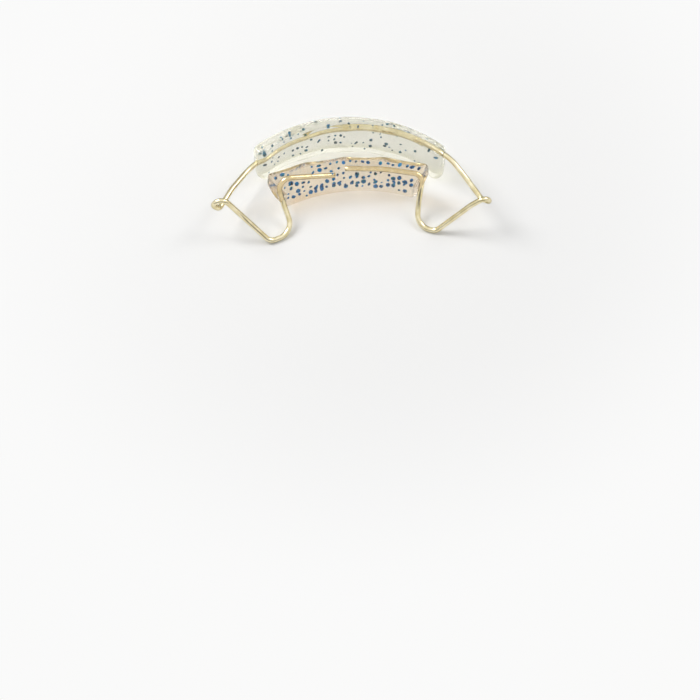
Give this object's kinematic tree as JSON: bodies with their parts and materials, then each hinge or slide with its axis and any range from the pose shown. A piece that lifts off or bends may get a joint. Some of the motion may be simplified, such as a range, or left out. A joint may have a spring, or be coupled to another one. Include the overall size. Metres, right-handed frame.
{
  "type": "spring aligner",
  "caption": "Removable dental spring aligner: a bent spring wire with canine loops joins a lingual and a labial pad of clear glitter acrylic.",
  "frame": {"origin": "on the midline, halfway between the two pads, in the plane that the part rests on, where the incisors enter the gap", "axes": "+X towards the right of the picture, across the arch; +Y forwards, towards the labial pad; +Z towards the biting edges"},
  "size_m": [0.0364, 0.016, 0.0073],
  "materials": {
    "spring_wire": "bright drawn wire with a warm tint",
    "lingual_acrylic": "clear polished acrylic with a faint warm tint",
    "labial_acrylic": "clear polished acrylic",
    "glitter": "metallic film"
  },
  "bodies": {
    "lingual": {"lingual_pad": "lingual_acrylic", "lingual_flakes": "glitter", "spring_wire": "spring_wire"},
    "labial": {"labial_pad": "labial_acrylic", "labial_flakes": "glitter"}
  },
  "joints": [
    {"name": "labial_spring", "type": "slide", "parent": "lingual", "child": "labial", "axis": [0, 1, 0], "range_m": [-0.0005, 0.0015], "stiffness_N_per_m": 1500, "deforming": ["spring_wire"]}
  ]
}
